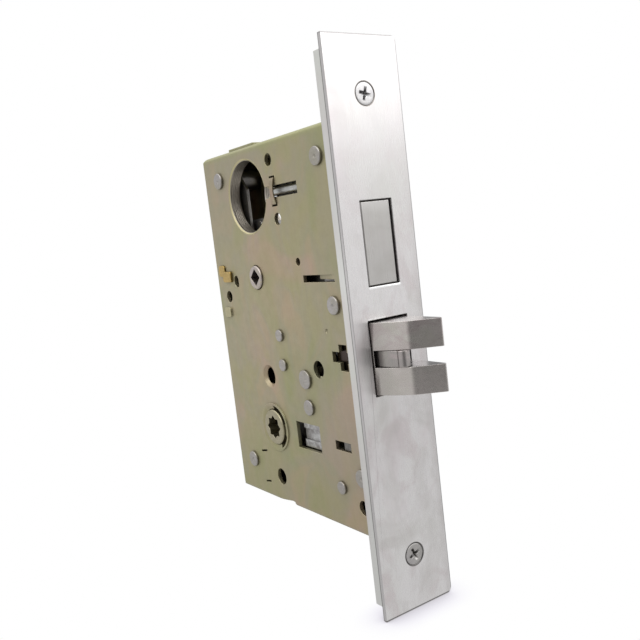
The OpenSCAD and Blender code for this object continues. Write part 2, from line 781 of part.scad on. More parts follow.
// ---- key lever ----
// [y,z] down the front edge and back up the rear edge
key_lever_outline = [
  [86.6,66],[80.7,58.8],[80.7,43],[76.6,26],[74.0,12],[67.2,-1.5],[67.5,-5.5],
  [71.9,-5.5],[71.9,-1.2],[79.4,10],[82.4,24],[88.2,44],[97.2,61.5]];
module key_lever() {
  color([0.66,0.65,0.63])
  difference() {
    union() {
      push_x([-4.6,-3.4]) {
        disc(key_pivot,5.6);
        polygon(key_lever_outline);
        disc([69.7,-5.5],2.2);
      }
      rod_x(key_pivot,4.4,[-9.3,9.3]);
    }
    rod_x(key_pivot,post_r+0.06,through);
  }
}

armor_front();
armor_front_screws();
inner_front();
case_body();
case_cover();
case_posts();
cover_screws();
front_brackets();
front_bracket_screws();
cylinder_ring_outside();
cylinder_ring_inside();
clamp_screw();
clamp_screw_nut();
clamp_screw_clip();
back_edge_catch();
latch_guide();
latch_guide_posts();
retractor_post();
limit_stud();
spacer_post();
deadbolt_guide_stud();
hub_spring_stop();
deadbolt_head();
deadbolt_tail();
deadbolt_tail_rivets();
deadbolt_roller_pins();
deadbolt_key_lugs();
turn_hub();
turn_arm_pin();
latchbolt_head();
latch_yoke();
latch_rod();
latch_rod_nut();
latch_spring();
friction_tongue();
tongue_pin();
retractor_lever();
hub_slide();
hub_spring();
lever_hub_outside();
lever_hub_inside();
key_lever();
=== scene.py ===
import json
import math

import bmesh
import bpy
from mathutils import Matrix, Vector


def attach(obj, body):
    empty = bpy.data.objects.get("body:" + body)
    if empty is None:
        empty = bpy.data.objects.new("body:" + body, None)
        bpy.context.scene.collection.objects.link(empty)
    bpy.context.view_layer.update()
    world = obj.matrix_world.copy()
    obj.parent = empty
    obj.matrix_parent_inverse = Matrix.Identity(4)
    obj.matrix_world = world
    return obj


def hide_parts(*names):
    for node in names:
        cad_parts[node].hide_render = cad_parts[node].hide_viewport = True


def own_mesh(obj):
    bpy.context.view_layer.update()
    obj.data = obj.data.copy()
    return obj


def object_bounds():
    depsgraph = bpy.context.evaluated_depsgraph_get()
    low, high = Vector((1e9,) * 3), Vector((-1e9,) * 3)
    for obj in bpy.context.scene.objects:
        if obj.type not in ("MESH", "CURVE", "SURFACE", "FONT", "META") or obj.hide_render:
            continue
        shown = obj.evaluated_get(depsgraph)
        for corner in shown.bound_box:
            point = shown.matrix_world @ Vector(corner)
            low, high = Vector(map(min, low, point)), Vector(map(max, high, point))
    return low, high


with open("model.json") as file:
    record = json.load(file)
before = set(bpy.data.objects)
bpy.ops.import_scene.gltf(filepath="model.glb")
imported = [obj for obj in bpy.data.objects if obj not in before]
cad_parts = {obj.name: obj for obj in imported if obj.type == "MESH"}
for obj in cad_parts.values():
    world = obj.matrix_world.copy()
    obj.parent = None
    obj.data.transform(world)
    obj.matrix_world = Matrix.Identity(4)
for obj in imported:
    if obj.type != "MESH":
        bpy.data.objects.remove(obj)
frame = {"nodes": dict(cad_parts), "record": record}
cad_low, cad_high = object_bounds()
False  # does nothing

MM = 0.001
AXIS_Y = 69.85  # axis of both the cylinder seat and the lever hubs
CYLINDER_Z = 55.05
HUB_Z = -41.8
LATCH_Z = -8.0
UPPER_SCREW_Z = 81.8
LOWER_SCREW_Z = -81.6


# ------------------------------------------------------------- shader building
def shade(color, factor, lift=0.0):
    """Scale a color by one factor or one per channel, add lift, and stop at 1."""
    factors = factor if isinstance(factor, tuple) else (factor,) * 3
    return tuple(min(1.0, c * f + lift) for c, f in zip(color, factors))


class Shader:
    """Builds the node tree of a material or a world."""

    def __init__(self, owner, output="ShaderNodeOutputMaterial", coordinates="Object"):
        owner.use_nodes = True
        self.owner = owner
        self.tree = owner.node_tree
        self.tree.nodes.clear()
        self.output = self.add(output)
        self.own_axes = None
        if coordinates:
            self.position = self.add("ShaderNodeTexCoord").outputs[coordinates]

    def add(self, kind, **props):
        node = self.tree.nodes.new(kind)
        for key, value in props.items():
            setattr(node, key, value)
        return node

    def link(self, source, target):
        self.tree.links.new(source, target)

    def put(self, socket, value):
        """Link a socket, or set a plain value."""
        if isinstance(value, bpy.types.NodeSocket):
            self.link(value, socket)
        else:
            socket.default_value = value

    # -- arithmetic
    def math(self, operation, a, b=0.0, clamp=False):
        node = self.add("ShaderNodeMath", operation=operation, use_clamp=clamp)
        self.put(node.inputs[0], a)
        self.put(node.inputs[1], b)
        return node.outputs[0]

    def times(self, a, b):
        return self.math("MULTIPLY", a, b)

    def hypotenuse(self, a, b):
        squares = self.math("ADD", self.math("POWER", a, 2.0), self.math("POWER", b, 2.0))
        return self.math("SQRT", squares)

    def remap(self, value, band, to):
        node = self.add("ShaderNodeMapRange")
        self.put(node.inputs["Value"], value)
        node.inputs["From Min"].default_value = band[0]
        node.inputs["From Max"].default_value = band[1]
        node.inputs["To Min"].default_value = to[0]
        node.inputs["To Max"].default_value = to[1]
        return node.outputs[0]

    def separate(self, vector):
        node = self.add("ShaderNodeSeparateXYZ")
        self.link(vector, node.inputs[0])
        return node.outputs

    def combine(self, x=0.0, y=0.0, z=0.0):
        node = self.add("ShaderNodeCombineXYZ")
        for socket, value in zip(node.inputs, (x, y, z)):
            self.put(socket, value)
        return node.outputs[0]

    def axes(self):
        """X, Y and Z of the piece's own frame, made on first use."""
        if self.own_axes is None:
            self.own_axes = self.separate(self.position)
        return self.own_axes

    # -- patterns
    def mapping(self, scale=(1, 1, 1), rotation=(0, 0, 0), location=(0, 0, 0)):
        node = self.add("ShaderNodeMapping")
        self.link(self.position, node.inputs["Vector"])
        node.inputs["Scale"].default_value = scale
        node.inputs["Rotation"].default_value = rotation
        node.inputs["Location"].default_value = location
        return node.outputs[0]

    def noise(self, scale=1.0, detail=2.0, rough=0.5, warp=0.0,
              stretch=None, shift=None, vector=None):
        if vector is None:
            vector = self.position
            if stretch or shift:
                vector = self.mapping(stretch or (1, 1, 1), location=shift or (0, 0, 0))
        node = self.add("ShaderNodeTexNoise")
        self.link(vector, node.inputs["Vector"])
        node.inputs["Scale"].default_value = scale
        node.inputs["Detail"].default_value = detail
        node.inputs["Roughness"].default_value = rough
        node.inputs["Distortion"].default_value = warp
        return node.outputs["Fac"]

    def ramp(self, value, stops):
        """Stops are (position, grey or color)."""
        node = self.add("ShaderNodeValToRGB")
        elements = node.color_ramp.elements
        while len(elements) < len(stops):
            elements.new(0.5)
        for element, (position, color) in zip(elements, stops):
            element.position = position
            if isinstance(color, (int, float)):
                color = (color, color, color)
            element.color = (*color, 1.0)
        self.put(node.inputs["Fac"], value)
        return node.outputs["Color"]

    # -- color layers
    def mix(self, factor, a, b, blend="MIX"):
        node = self.add("ShaderNodeMix", data_type="RGBA", blend_type=blend)
        node.clamp_factor = True
        self.put(node.inputs[0], factor)
        for index, value in ((6, a), (7, b)):
            if isinstance(value, tuple):
                value = (*value, 1.0)
            self.put(node.inputs[index], value)
        return node.outputs[2]

    def paint(self, color, tone, mask, amount=1.0):
        """Lay tone over color inside a mask."""
        if amount != 1.0:
            mask = self.times(mask, amount)
        return self.mix(mask, color, tone)

    def tint(self, color, tone, where, band, amount, within=None):
        """Lay tone over color, growing to amount as the pattern crosses the band."""
        mask = self.remap(where, band, (0.0, amount))
        if within is not None:
            mask = self.times(mask, within)
        return self.mix(mask, color, tone)

    def patch(self, color, tone, amount=1.0, **box):
        return self.paint(color, tone, self.zone(**box), amount)

    def overlay(self, color, pattern, amount, stops):
        return self.mix(amount, color, self.ramp(pattern, stops), "OVERLAY")

    def corner_shade(self, color, tone, reach, amount, band=(0.3, 0.9)):
        """Painted shade: darken corners that see little open space."""
        node = self.add("ShaderNodeAmbientOcclusion", samples=6)
        node.inputs["Distance"].default_value = reach
        return self.mix(self.remap(node.outputs["AO"], band, (amount, 0.0)), color, tone)

    def edge(self, radius):
        """(rounded normal, mask that is 1 on worn edges)."""
        bevel = self.add("ShaderNodeBevel", samples=6)
        bevel.inputs["Radius"].default_value = radius
        geometry = self.add("ShaderNodeNewGeometry")
        dot = self.add("ShaderNodeVectorMath", operation="DOT_PRODUCT")
        self.link(bevel.outputs[0], dot.inputs[0])
        self.link(geometry.outputs["Normal"], dot.inputs[1])
        mask = self.remap(dot.outputs["Value"], band=(0.98, 0.75), to=(0.0, 1.0))
        return bevel.outputs[0], mask

    def worn_edges(self, color, tone, radius, amount):
        normal, mask = self.edge(radius)
        return normal, self.paint(color, tone, mask, amount)

    # -- masks
    def zone(self, x=None, y=None, z=None, soft=0.08):
        """1 inside the given mm ranges of the piece's own frame, 0 outside."""
        axes = self.axes()
        half_soft = soft * MM / 2
        mask = None
        for axis, limits in enumerate((x, y, z)):
            if limits is None:
                continue
            for limit, to in zip(limits, ((0.0, 1.0), (1.0, 0.0))):
                if limit is None:
                    continue
                band = (limit * MM - half_soft, limit * MM + half_soft)
                side = self.remap(axes[axis], band, to)
                mask = side if mask is None else self.times(mask, side)
        return mask

    def ring(self, x, z, inner, outer, soft=0.12):
        """1 between two radii (mm) round a point of the XZ plane."""
        axes = self.axes()
        dx = self.math("SUBTRACT", axes[0], x * MM)
        dz = self.math("SUBTRACT", axes[2], z * MM)
        squares = self.math("ADD", self.times(dx, dx), self.times(dz, dz))
        radius = self.math("SQRT", squares)
        half_soft = soft * MM / 2
        sides = [
            self.remap(radius, (limit * MM - half_soft, limit * MM + half_soft), to)
            for limit, to in ((inner, (0.0, 1.0)), (outer, (1.0, 0.0)))
        ]
        return self.times(*sides)

    def round_x_axis(self, y, z):
        """(position along, distance from) an X-parallel axis through y, z in mm."""
        offset = self.add("ShaderNodeVectorMath", operation="SUBTRACT")
        self.link(self.position, offset.inputs[0])
        offset.inputs[1].default_value = (0, y * MM, z * MM)
        axes = self.separate(offset.outputs[0])
        return axes[0], self.hypotenuse(axes[1], axes[2])

    def facing_up(self):
        geometry = self.add("ShaderNodeNewGeometry")
        dot = self.add("ShaderNodeVectorMath", operation="DOT_PRODUCT")
        self.link(geometry.outputs["True Normal"], dot.inputs[0])
        dot.inputs[1].default_value = (0, 0, 1)
        return self.remap(dot.outputs["Value"], band=(0.6, 0.8), to=(0.0, 1.0))

    # -- surroundings: directions on floor and sky
    def by_azimuth(self, azimuth, stops):
        """Ramp with stops (degrees from -Y, positive toward -X; value)."""
        return self.ramp(azimuth, [((degrees + 180) / 360, v) for degrees, v in stops])

    def by_height(self, height, stops):
        """Ramp with stops (Z of the direction, -1 to 1; value)."""
        return self.ramp(height, [((z + 1) / 2, v) for z, v in stops])

    def azimuth(self, x, y):
        angle = self.math("ARCTAN2", self.times(x, -1.0), self.times(y, -1.0))
        return self.remap(angle, band=(-math.pi, math.pi), to=(0.0, 1.0))

    # -- outputs
    def bump(self, height, normal, strength, depth):
        node = self.add("ShaderNodeBump")
        node.inputs["Strength"].default_value = strength
        node.inputs["Distance"].default_value = depth
        self.link(height, node.inputs["Height"])
        self.link(normal, node.inputs["Normal"])
        return node.outputs[0]

    def principled(self, **values):
        """Connect the surface and return the finished material."""
        node = self.add("ShaderNodeBsdfPrincipled")
        for key, value in values.items():
            self.put(node.inputs[key.replace("_", " ")], value)
        self.link(node.outputs[0], self.output.inputs[0])
        return self.owner

    def camera_switch(self, lighting, seen):
        """One shader lights the scene, the other is what the camera sees."""
        path = self.add("ShaderNodeLightPath")
        switch = self.add("ShaderNodeMixShader")
        self.link(path.outputs["Is Camera Ray"], switch.inputs[0])
        self.link(lighting.outputs[0], switch.inputs[1])
        self.link(seen.outputs[0], switch.inputs[2])
        self.link(switch.outputs[0], self.output.inputs[0])


def new_shader(name, **options):
    return Shader(bpy.data.materials.new(name), **options)


# ---------------------------------------------------------------- finishes
def case_finish():
    """Yellow dichromate over zinc: olive to pinkish cloudy film on rolled sheet."""
    green = (0.315, 0.325, 0.155)
    khaki = (0.37, 0.335, 0.20)
    pink = (0.45, 0.335, 0.245)
    grey = (0.345, 0.315, 0.25)
    mat = new_shader("finish_case")
    broad = mat.noise(scale=27, warp=0.7)
    cloud = mat.noise(scale=52, detail=3.0, warp=1.0, stretch=(1, 1, 0.6), shift=(0.2, 0.1, 0.4))
    haze = mat.noise(scale=15, shift=(0.5, 0.3, 0.1))
    base = mat.ramp(broad, [(0.34, green), (0.46, khaki), (0.54, khaki), (0.66, pink)])
    film = mat.ramp(
        cloud, [(0.30, green), (0.44, khaki), (0.54, grey), (0.64, pink), (0.75, khaki)])
    film_share = 0.38
    color = mat.mix(film_share, base, film)
    color = mat.tint(color, grey, haze, band=(0.42, 0.66), amount=0.45)
    fine = mat.noise(scale=1500, detail=3.0, rough=0.7)
    color = mat.overlay(color, fine, amount=0.05, stops=[(0.3, 0.2), (0.7, 0.7)])
    # rolling lines of the sheet, very faint, along Z
    rolling = mat.noise(stretch=(900, 900, 14))
    color = mat.overlay(color, rolling, amount=0.025, stops=[(0.35, 0.2), (0.65, 0.65)])
    # a lighter patch on the -X side; then painted shade on the bottom and back margins and
    # painted light on the top margin, where the bent rims reflect dark below and bright above
    color = mat.patch(color, shade(khaki, 1.3), amount=0.55,
                      x=(None, -11.4), y=(95.4, 101.6), z=(4.2, 9.4))
    color = mat.patch(color, shade(khaki, 0.55), amount=0.55, z=(None, -74.1), soft=0.9)
    color = mat.patch(color, shade(green, 0.62), amount=0.5, y=(105.6, None), soft=0.8)
    color = mat.patch(color, shade(green, 1.12), amount=0.6, z=(72.8, None), soft=2.2)
    # worn edges, broken up by noise
    normal, worn = mat.edge(radius=0.00035)
    breakup = mat.remap(mat.noise(scale=420, detail=3.0), band=(0.35, 0.6), to=(0.35, 1.0))
    worn = mat.math("MULTIPLY", worn, breakup, clamp=True)
    color = mat.paint(color, shade(khaki, 1.55, lift=0.10), worn, amount=0.55)
    # painted shade in the corners and creases of the case
    color = mat.corner_shade(color, shade(khaki, 0.34), reach=0.0022, amount=0.55, band=(0.35, 0.95))
    roughness = mat.remap(
        mat.noise(scale=260, detail=4.0, rough=0.6), band=(0.25, 0.75), to=(0.35, 0.52))
    normal = mat.bump(mat.noise(scale=210), normal, strength=0.10, depth=0.00006)
    normal = mat.bump(fine, normal, strength=0.10, depth=0.00001)
    return mat.principled(Base_Color=color, Metallic=0.85, Roughness=roughness, Normal=normal)


def brushed(name, steel, rough, lines, anisotropy, smudge, edge_gain,
            axis="z", pits=0.0, marks=None, bumps=1.0, stain=1.0):
    """Brushed steel with grain along one axis, faint stains, brighter worn edges and painted
    shade in corners.

    lines is the grain contrast, smudge and stain the amount and color of the stains,
    edge_gain the brightness of worn edges, and marks adds the piece's own marks and painted
    light.
    """
    def along_axis(across, along):
        return tuple(along if name_ == axis else across for name_ in "xyz")

    mat = new_shader(name)
    coarse_stretch = along_axis(across=2600, along=22)
    coarse = mat.noise(detail=3.0, rough=0.6, stretch=coarse_stretch)
    fine = mat.noise(stretch=along_axis(across=7000, along=60), shift=(3, 5, 7))
    broad = mat.noise(stretch=tuple(v * 0.16 for v in coarse_stretch), shift=(9, 2, 1))
    grain = mat.math("ADD", mat.times(coarse, 0.6), mat.times(fine, 0.4))
    dark = shade(steel, 1 - lines)
    light = shade(steel, 1 + lines)
    color = mat.ramp(grain, [(0.36, dark), (0.64, light)])
    broad_share = min(0.5, 2 * lines)
    color = mat.mix(broad_share, color, mat.ramp(broad, [(0.35, dark), (0.65, light)]))

    pink_stain = mat.noise(scale=42, detail=3.0, rough=0.6, warp=0.8, stretch=(1, 1, 0.55))
    green_stain = mat.noise(
        scale=30, detail=3.0, warp=0.4, stretch=(1, 1, 0.7), shift=(0.4, 0.9, 0.2))
    pinkish = shade(steel, (1.0 - 0.03 * stain, 1.0 - 0.075 * stain, 1.0 - 0.06 * stain))
    greenish = shade(steel, (1.0 - 0.055 * stain, 1.0 - 0.035 * stain, 1.0 - 0.075 * stain))
    color = mat.tint(color, pinkish, pink_stain, band=(0.5, 0.68), amount=smudge)
    color = mat.tint(color, greenish, green_stain, band=(0.5, 0.68), amount=smudge * 0.9)

    normal, color = mat.worn_edges(color, shade(steel, edge_gain), radius=0.00025, amount=0.6)
    # painted shade in corners and creases
    color = mat.corner_shade(color, shade(steel, 0.3), reach=0.0015, amount=0.5)
    if pits:
        # dark and bright streaks across Z
        streak = mat.noise(stretch=(120, 120, 3600), shift=(2, 7, 4))
        areas = mat.remap(mat.noise(scale=170), band=(0.45, 0.6), to=(0.1, 1.0))
        color = mat.tint(color, shade(steel, 0.6), streak,
                         band=(0.60, 0.70), amount=pits, within=areas)
        streak = mat.noise(stretch=(90, 90, 2500), shift=(5, 1, 9))
        color = mat.tint(color, shade(steel, 1.35), streak, band=(0.62, 0.70), amount=pits * 0.7)
    if marks:
        color = marks(mat, color)
    roughness = mat.math(
        "ADD",
        mat.remap(grain, band=(0.3, 0.7), to=(rough - 0.05, rough + 0.06)),
        mat.remap(pink_stain, band=(0.3, 0.7), to=(-0.03, 0.05)))
    normal = mat.bump(coarse, normal, strength=0.10 * bumps, depth=0.00002)
    normal = mat.bump(mat.noise(scale=120), normal, strength=0.05 * bumps, depth=0.0001)
    tangent = {"z": (1, 0, 0), "y": (0, 0, 1)}[axis]
    return mat.principled(Base_Color=color, Metallic=1.0, Roughness=roughness, Normal=normal,
                          Anisotropic=anisotropy, Tangent=mat.combine(*tangent))


def plated(name, plate, rough, cloud, wear, second=None, scale=1.0, corner_shade_reach=0.0012,
           hub_shade_rim=None, speck=None):
    """Clear or coloured plating on small turned and pressed pieces.

    cloud is the amount of the second tone, wear the tone of edges and scratches,
    the hub rim: a (radius in mm, tone) beyond which the hubs get painted shade for the flange in
    its shadowed recess, speck a (tone, noise scale).
    """
    mat = new_shader(name)
    clouds = mat.noise(scale=190 * scale, detail=3.0, rough=0.6, warp=0.5)
    fine = mat.noise(scale=1300 * scale, detail=3.0, rough=0.7)
    broad = mat.noise(scale=60 * scale, shift=(1, 2, 3))
    color = mat.tint(plate, second or shade(plate, 0.82), clouds,
                     band=(0.38, 0.66), amount=cloud * 2.2)
    color = mat.tint(color, shade(plate, (0.97, 0.95, 1.02)), broad,
                     band=(0.45, 0.62), amount=0.35)
    color = mat.overlay(color, fine, amount=0.18, stops=[(0.3, 0.15), (0.7, 0.7)])
    if speck:
        tone, speck_scale = speck
        specks = mat.noise(scale=speck_scale, detail=4.0, rough=0.7, shift=(4, 1, 2))
        color = mat.tint(color, tone, specks, band=(0.55, 0.62), amount=0.6)
    # hairline scratches on the borders of long cells
    stretched = mat.mapping((1400, 90, 1400), rotation=(0.4, 0.2, 0.9))
    cells = mat.add("ShaderNodeTexVoronoi", feature="DISTANCE_TO_EDGE")
    mat.link(stretched, cells.inputs["Vector"])
    cells.inputs["Scale"].default_value = 1.0
    scratches = mat.remap(cells.outputs["Distance"], band=(0.0, 0.05), to=(0.16, 0.0))
    color = mat.mix(scratches, color, wear)
    normal, color = mat.worn_edges(color, wear, radius=0.0002, amount=0.65)
    # painted shade in corners and creases
    color = mat.corner_shade(color, shade(plate, 0.22), reach=corner_shade_reach, amount=0.6)
    # painted shade on the lever hub flange beyond the rim radius, where it sits in a shadowed
    # recess
    if hub_shade_rim:
        rim_radius, tone = hub_shade_rim
        radius = mat.round_x_axis(AXIS_Y, HUB_Z)[1]
        band = (rim_radius * MM, (rim_radius + 0.1) * MM)
        color = mat.tint(color, tone, radius, band=band, amount=1.0)
    roughness = mat.remap(clouds, band=(0.3, 0.7), to=(rough - 0.07, rough + 0.1))
    normal = mat.bump(fine, normal, strength=0.12, depth=0.00002)
    normal = mat.bump(clouds, normal, strength=0.12 * 0.8, depth=0.00008)
    return mat.principled(Base_Color=color, Metallic=1.0, Roughness=roughness, Normal=normal)


def cylinder_seat_finish():
    """Lathe-turned steel: concentric tool marks round the cylinder axis."""
    steel = (0.40, 0.365, 0.315)
    rim_radius = 14.72  # mm
    rim_soft = 0.06  # mm
    marks_per_metre = 3800.0
    mat = new_shader("finish_cylinder_seat")
    along, radius = mat.round_x_axis(AXIS_Y, CYLINDER_Z)
    travel = mat.math("ADD", radius, mat.times(along, 1.0))
    marks = mat.noise(rough=0.6, vector=mat.combine(x=mat.times(travel, marks_per_metre)))
    color = mat.ramp(marks, [(0.3, shade(steel, 0.8)), (0.7, shade(steel, 1.12))])
    clouds = mat.noise(scale=240, detail=3.0)
    color = mat.tint(color, shade(steel, 0.75), clouds, band=(0.45, 0.7), amount=0.4)
    rim_band = (rim_radius * MM, (rim_radius + rim_soft) * MM)
    color = mat.tint(color, (0.50, 0.45, 0.27), radius, band=rim_band, amount=1.0)
    normal, color = mat.worn_edges(color, (0.5, 0.46, 0.33), radius=0.0002, amount=0.35)
    # painted shade in the corners of the seat
    color = mat.corner_shade(color, shade(steel, 0.2), reach=0.0015, amount=0.5)
    normal = mat.bump(marks, normal, strength=0.12, depth=0.00002)
    roughness = mat.remap(clouds, band=(0.3, 0.7), to=(0.30, 0.46))
    return mat.principled(Base_Color=color, Metallic=1.0, Roughness=roughness, Normal=normal)


# ---------------------------------------------- marks and painted light of single brushed pieces (mm)
def armor_stains_and_painted_light(mat, color):
    """Handling stains and mottling, with painted light and shade: the lower plate lifted toward
    white, a painted reflection of the latch, painted highlights on the lips of the openings,
    painted shadow rings round the screws, and painted shade along the edges and in the joint to
    the inner front.
    """
    # painted light: the plate is lifted toward white, most strongly below z 40; the same mask
    # keeps the stains to the lower plate
    low = mat.remap(mat.zone(z=(None, 40), soft=60), band=(0.0, 1.0), to=(0.25, 1.0))
    color = mat.paint(color, (1.0, 0.985, 0.985), low, amount=0.30)
    # handling stains, stronger low on the plate
    stain = mat.noise(scale=62, detail=5.0, rough=0.62, warp=0.9,
                      stretch=(1, 1, 0.8), shift=(0.31, 0.2, 0.77))
    second_stain = mat.noise(scale=48, detail=4.0, rough=0.6, warp=0.6,
                             stretch=(1, 1, 0.7), shift=(0.9, 0.1, 0.33))
    color = mat.tint(color, (0.655, 0.585, 0.592), stain,
                     band=(0.48, 0.63), amount=0.58, within=low)
    color = mat.tint(color, (0.61, 0.59, 0.57), second_stain,
                     band=(0.51, 0.65), amount=0.54, within=low)
    mottle = mat.noise(scale=300, detail=4.0, rough=0.7,
                       stretch=(1, 1, 0.35), shift=(0.2, 0.6, 0.1))
    greyed = (0.60, 0.575, 0.57)
    color = mat.tint(color, greyed, mottle, band=(0.50, 0.68), amount=0.30, within=low)
    rim = mat.times(mat.zone(x=(13.4, None), soft=2.4), low)
    color = mat.paint(color, greyed, rim, amount=0.35)
    # painted reflection of the latch beside its opening: a wide faint one, then a narrower one
    # columns: x start, its softness, z range, its softness, amount, tone
    for x_start, x_soft, z_range, z_soft, amount, tone in (
        (-14.6, 4.4, (-12.5, -0.6), 7.0, 0.42, (0.22, 0.21, 0.205)),
        (-12.6, 3.0, (-22.0, 5.6), 3.0, 0.22, (0.30, 0.29, 0.285)),
    ):
        across = mat.times(mat.zone(x=(x_start, None), soft=x_soft),
                           mat.zone(x=(None, -8.8), soft=0.4))
        latch_reflection = mat.times(across, mat.zone(z=z_range, soft=z_soft))
        color = mat.paint(color, tone, latch_reflection, amount)
    # lit lips of the two openings
    white = (1.0, 1.0, 1.0)
    color = mat.patch(color, white, amount=0.95,
                      x=(-7.2, 6.7), y=(None, 0.4), z=(15.95, 16.85), soft=0.25)
    color = mat.patch(color, white, amount=0.6,
                      x=(-9.3, -1.5), y=(None, 0.4), z=(5.35, 6.0), soft=0.25)
    # shadow rings round the two screws
    upper = mat.ring(x=0, z=UPPER_SCREW_Z, inner=3.85, outer=4.35)
    color = mat.paint(color, (0.22, 0.20, 0.18), upper, amount=0.85)
    lower = mat.ring(x=0, z=LOWER_SCREW_Z, inner=3.85, outer=4.45)
    color = mat.paint(color, (0.09, 0.085, 0.08), lower, amount=0.92)
    # the sheared left edge face in grey, painted shade in the joint to the inner front, and
    # painted shade along the right, top and bottom edges
    edge_shade = (0.25, 0.24, 0.24)
    color = mat.patch(color, (0.55, 0.535, 0.535), x=(None, -15.70))
    color = mat.patch(color, (0.13, 0.125, 0.12), x=(None, -15.2), y=(1.25, None), soft=0.15)
    color = mat.patch(color, edge_shade, amount=0.75, x=(15.52, None), soft=0.15)
    color = mat.patch(color, edge_shade, amount=0.65, z=(101.15, None), soft=0.15)
    return mat.patch(color, (0.14, 0.13, 0.13), amount=0.9, z=(None, -101.12), soft=0.2)


def inner_front_painted_shade(mat, color):
    # painted shade on the front of the inner front, in the joint behind the armor front
    return mat.patch(color, (0.13, 0.125, 0.12), y=(None, 2.2), soft=0.25)


def latch_stains_and_painted_shade(mat, color):
    stain = mat.noise(scale=150, detail=4.0, rough=0.6, warp=0.8,
                      stretch=(1, 1, 1.6), shift=(0.11, 0.52, 0.3))
    upper = mat.remap(mat.zone(z=(-8, None)), band=(0.0, 1.0), to=(0.3, 1.0))
    color = mat.tint(color, (0.52, 0.45, 0.445), stain,
                     band=(0.42, 0.60), amount=0.8, within=upper)
    second_stain = mat.noise(scale=95, detail=3.0, shift=(0.71, 0.2, 0.13))
    color = mat.tint(color, (0.50, 0.485, 0.43), second_stain, band=(0.5, 0.66), amount=0.5)
    # upward faces sit under the other prong or face the dim side of the room
    top = mat.facing_up()
    color = mat.paint(color, (0.36, 0.35, 0.345), top, amount=0.75)
    low_top = mat.times(top, mat.zone(z=(None, -8)))
    color = mat.paint(color, (0.16, 0.155, 0.155), low_top, amount=0.75)
    # painted shade: darker toward the root, and dark inside the case
    color = mat.patch(color, (0.30, 0.28, 0.275), amount=0.35, y=(-4.5, None), soft=7.0)
    return mat.patch(color, (0.06, 0.045, 0.04), y=(6.0, None), soft=1.0)


def bolt_stains_and_painted_light(mat, color):
    stain = mat.noise(scale=110, detail=4.0, rough=0.6,
                      stretch=(1.0, 1, 1.4), shift=(0.2, 0.3, 0.9))
    color = mat.tint(color, (0.455, 0.44, 0.42), stain, band=(0.45, 0.65), amount=0.5)
    # painted light: lighter toward the top of the bolt
    color = mat.patch(color, (0.60, 0.585, 0.57), z=(43.5, None), soft=4.0)
    # painted shade: dark inside the case
    return mat.patch(color, (0.10, 0.10, 0.095), y=(27.0, None), soft=1.0)


# ------------------------------------------------------------ finish of each piece
SLOT_FINISH = {
    "stainless": brushed(
        "finish_armor_front", (0.71, 0.69, 0.69), rough=0.27, lines=0.02, anisotropy=0.8,
        smudge=0.9, edge_gain=1.15, marks=armor_stains_and_painted_light, bumps=0.25, stain=1.2),
    "bolt_stainless": brushed(
        "finish_deadbolt", (0.52, 0.505, 0.49), rough=0.30, lines=0.03, anisotropy=0.6,
        smudge=0.4, edge_gain=1.5, marks=bolt_stains_and_painted_light, bumps=0.6),
    "latch_stainless": brushed(
        "finish_latch", (0.60, 0.565, 0.535), rough=0.26, axis="y", lines=0.012,
        anisotropy=0.2, smudge=0.6, edge_gain=1.35, pits=0.22, marks=latch_stains_and_painted_shade, bumps=0.15),
    "screw_steel": plated(
        "finish_screws", (0.62, 0.61, 0.61), rough=0.26, cloud=0.3, wear=(0.85, 0.85, 0.84)),
    "zinc_steel": plated(
        "finish_clear_zinc", (0.56, 0.55, 0.545), rough=0.34, cloud=0.3,
        second=(0.46, 0.46, 0.47), wear=(0.78, 0.78, 0.77)),
    "case_zinc": case_finish(),
    # the lever hubs get painted shade beyond a 7.6 mm radius, on the flange in its recess
    "hub_zinc": plated(
        "finish_lever_hubs", (0.38, 0.345, 0.24), rough=0.33, cloud=0.35,
        second=(0.33, 0.30, 0.19), wear=(0.62, 0.58, 0.45), hub_shade_rim=(7.6, (0.15, 0.13, 0.09))),
    "stud_steel": plated(
        "finish_studs", (0.385, 0.365, 0.355), rough=0.36, cloud=0.3,
        second=(0.365, 0.345, 0.275), wear=(0.66, 0.645, 0.61)),
    "hard_steel": plated(
        "finish_hard_steel", (0.30, 0.30, 0.32), rough=0.3, cloud=0.2, wear=(0.6, 0.6, 0.62)),
    "ring_steel": cylinder_seat_finish(),
    "spring_steel": plated(
        "finish_spring_wire", (0.45, 0.45, 0.47), rough=0.22, cloud=0.15,
        wear=(0.8, 0.8, 0.8), scale=2.0),
    "brass": plated(
        "finish_brass", (0.47, 0.33, 0.11), rough=0.3, cloud=0.35,
        second=(0.40, 0.28, 0.10), wear=(0.80, 0.58, 0.24)),
}
